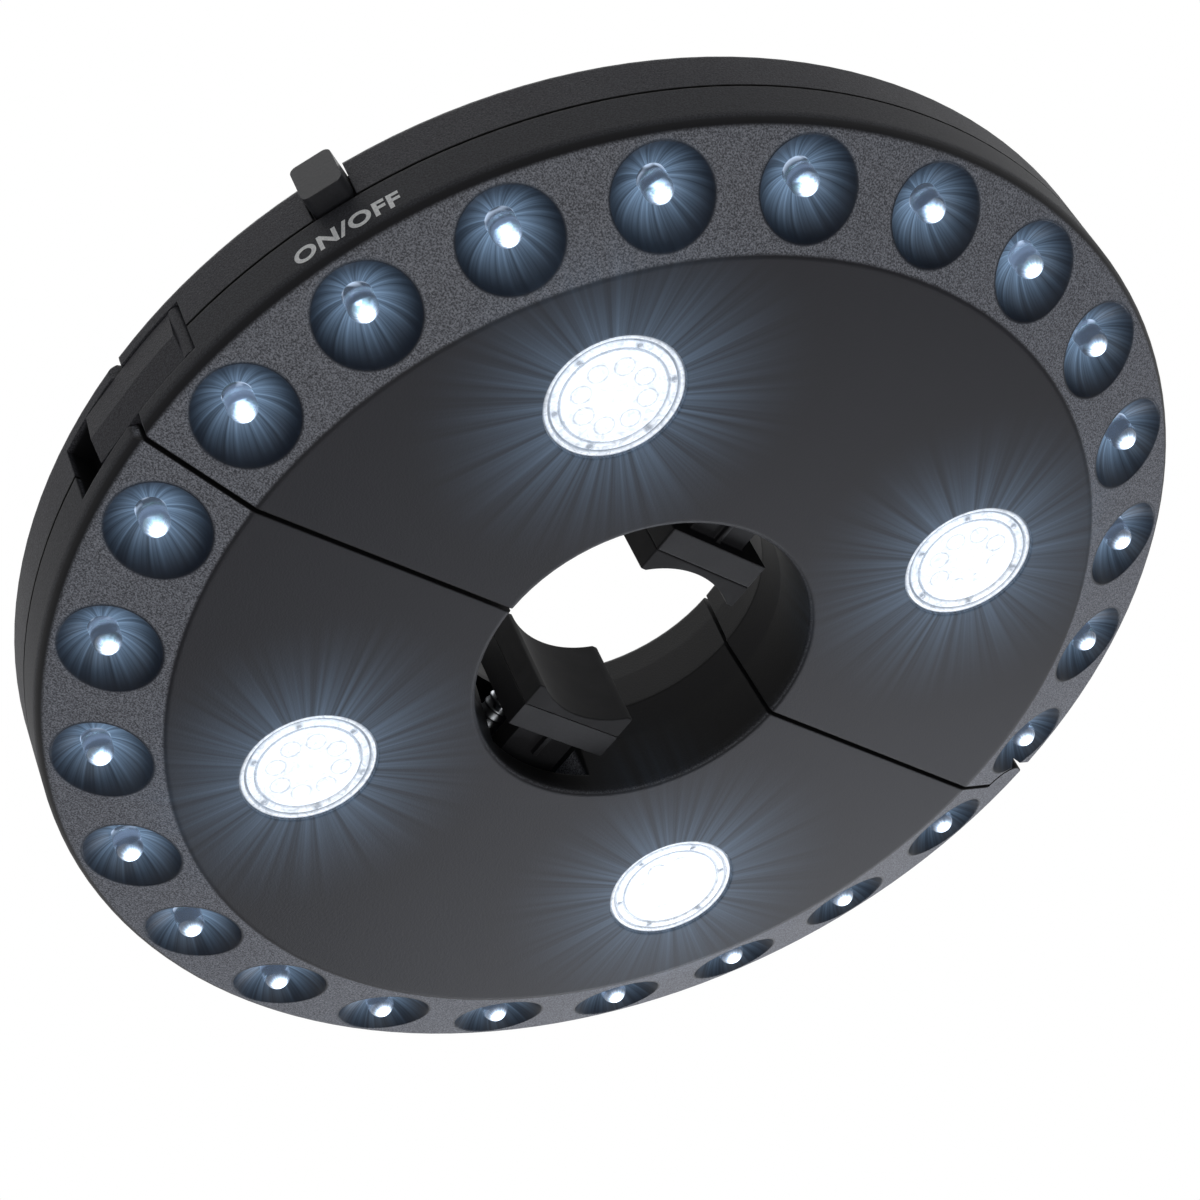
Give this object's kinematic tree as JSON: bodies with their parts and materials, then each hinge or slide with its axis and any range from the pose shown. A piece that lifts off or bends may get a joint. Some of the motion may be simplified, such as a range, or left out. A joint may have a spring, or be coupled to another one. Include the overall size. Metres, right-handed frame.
{
  "type": "patio umbrella light",
  "caption": "Battery ring light of two hinged half rings that clamps round an umbrella pole with sprung jaws, lit face down.",
  "frame": {"origin": "on the pole's axis, in the parting plane between the front and back shells", "axes": "+Z towards the back, up in use with the lit face down; +X to the hinge; +Y into the swinging half B, -Y into half A with the clasp's pin and the button"},
  "size_m": [0.2103, 0.21, 0.0327],
  "materials": {
    "front_plastic": "fine spark-eroded grain, dark charcoal",
    "back_plastic": "fine spark-eroded grain, dark charcoal",
    "jaw_plastic": "smooth satin, dark charcoal",
    "button_plastic": "satin, dark charcoal",
    "grip_rubber": "matt soft grip",
    "clear_acrylic": "polished clear moulding",
    "white_plastic": "glossy white reflector cup",
    "lit_phosphor": "emitter under a clear dome",
    "lit_led": "clear epoxy dome, lit cool white",
    "circuit_board": "solder-masked board",
    "lamp_board": "white-masked metal board",
    "zinc_steel": "zinc plated",
    "pin_steel": "ground",
    "spring_wire": "drawn wire",
    "nickel_plate": "nickel plated",
    "cell_sleeve": "printed sleeve on a metal can",
    "switch_white": "glossy",
    "switch_black": "matt"
  },
  "bodies": {
    "half_a": {"front_shell_a": "front_plastic", "back_shell_a": "back_plastic", "case_screws_a": "zinc_steel", "lenses_a": "clear_acrylic", "lens_holders_a": "white_plastic", "lamp_emitters_a": "lit_phosphor", "lamp_boards_a": "lamp_board", "ring_board_a": "circuit_board", "ring_leds_a": "lit_led", "cells_a": "cell_sleeve", "contact_plates_a": "nickel_plate", "contact_springs_a": "spring_wire", "jaw_springs_a": "spring_wire", "hook_pin_a": "pin_steel", "clasp_pin": "pin_steel", "hinge_pin": "pin_steel", "switch_body": "switch_black", "switch_board": "circuit_board"},
    "half_b": {"front_shell_b": "front_plastic", "back_shell_b": "back_plastic", "case_screws_b": "zinc_steel", "lenses_b": "clear_acrylic", "lens_holders_b": "white_plastic", "lamp_emitters_b": "lit_phosphor", "lamp_boards_b": "lamp_board", "ring_board_b": "circuit_board", "ring_leds_b": "lit_led", "cells_b": "cell_sleeve", "contact_plates_b": "nickel_plate", "contact_springs_b": "spring_wire", "jaw_springs_b": "spring_wire", "hook_pin_b": "pin_steel"},
    "clasp": {"clasp": "front_plastic"},
    "button": {"button": "button_plastic", "switch_plunger": "switch_white"},
    "jaw_a": {"jaw_a": "jaw_plastic", "jaw_pad_a": "grip_rubber"},
    "jaw_b": {"jaw_b": "jaw_plastic", "jaw_pad_b": "grip_rubber"},
    "hook_a": {"hook_a": "jaw_plastic"},
    "hook_b": {"hook_b": "jaw_plastic"},
    "door_a": {"battery_door_a": "back_plastic", "door_screw_a": "zinc_steel"},
    "door_b": {"battery_door_b": "back_plastic", "door_screw_b": "zinc_steel"}
  },
  "joints": [
    {"name": "half_swing", "type": "hinge", "parent": "half_a", "child": "half_b", "pos_m": [0.1005, 0, 0], "axis": [0, 0, -1], "range_deg": [0, 100]},
    {"name": "clasp_swing", "type": "hinge", "parent": "half_a", "child": "clasp", "pos_m": [-0.10247, -0.0138, 0.0002], "axis": [0, 0, 1], "range_deg": [0, 75]},
    {"name": "button_press", "type": "slide", "parent": "half_a", "child": "button", "axis": [0.9063, 0.4226, 0], "range_m": [0, 0.0012], "stiffness_N_per_m": 600},
    {"name": "jaw_a_slide", "type": "slide", "parent": "half_a", "child": "jaw_a", "axis": [0, -1, 0], "range_m": [-0.0065, 0.0065], "stiffness_N_per_m": 300, "deforming": ["jaw_springs_a"]},
    {"name": "jaw_b_slide", "type": "slide", "parent": "half_b", "child": "jaw_b", "axis": [0, 1, 0], "range_m": [-0.0065, 0.0065], "stiffness_N_per_m": 300, "deforming": ["jaw_springs_b"]},
    {"name": "hook_a_fold", "type": "hinge", "parent": "half_a", "child": "hook_a", "pos_m": [-0.0395, -0.018, 0.0113], "axis": [0, 1, 0], "range_deg": [0, 95]},
    {"name": "hook_b_fold", "type": "hinge", "parent": "half_b", "child": "hook_b", "pos_m": [0.0395, 0.018, 0.0113], "axis": [0, -1, 0], "range_deg": [0, 95]},
    {"name": "door_a_lift", "type": "slide", "parent": "half_a", "child": "door_a", "axis": [0, 0, 1], "range_m": [0, 0.03]},
    {"name": "door_b_lift", "type": "slide", "parent": "half_b", "child": "door_b", "axis": [0, 0, 1], "range_m": [0, 0.03]}
  ]
}
